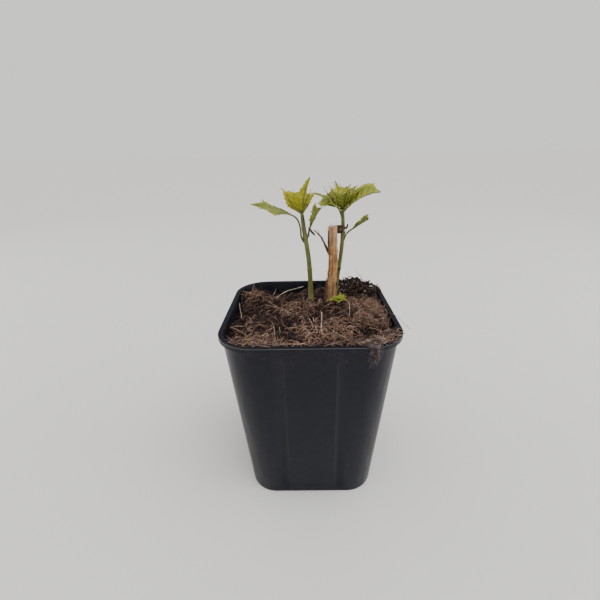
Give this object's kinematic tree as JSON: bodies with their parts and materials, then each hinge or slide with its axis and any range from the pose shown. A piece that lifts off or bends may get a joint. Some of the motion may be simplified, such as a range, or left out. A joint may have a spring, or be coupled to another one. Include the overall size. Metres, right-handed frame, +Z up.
{
  "type": "potted rose mallow",
  "caption": "Young rose mallow cut back to a woody stub with two green leafy shoots, growing in a square nursery pot of potting mix.",
  "frame": {"origin": "middle of the pot's flat underside, at the level that the pot stands on", "axes": "+Z up along the plant, +X to the right and -Y towards the viewer of the picture's side; the pot's sides face X and Y"},
  "size_m": [0.09, 0.09, 0.1689],
  "materials": {
    "pot_plastic": "semi-gloss moulded plastic",
    "potting_mix": "rough peat and coir fibre",
    "bark": "tan bark, cut off flat",
    "dry_wood": "dry grey-brown",
    "green_stem": "smooth green skin",
    "leaf": "soft matt leaf",
    "young_leaf": "soft yellow-green leaf",
    "dry_leaf": "withered brown leaf"
  },
  "bodies": {
    "root": {"pot": "pot_plastic", "potting_mix": "potting_mix", "old_stem": "bark", "dead_twig": "dry_wood", "left_shoot": "green_stem", "right_shoot": "green_stem", "left_crown": "young_leaf", "left_spreading_leaf": "leaf", "left_small_leaf": "leaf", "right_crown": "leaf", "right_side_leaf": "leaf", "dry_scale": "dry_leaf", "basal_sprout": "young_leaf"}
  },
  "joints": []
}
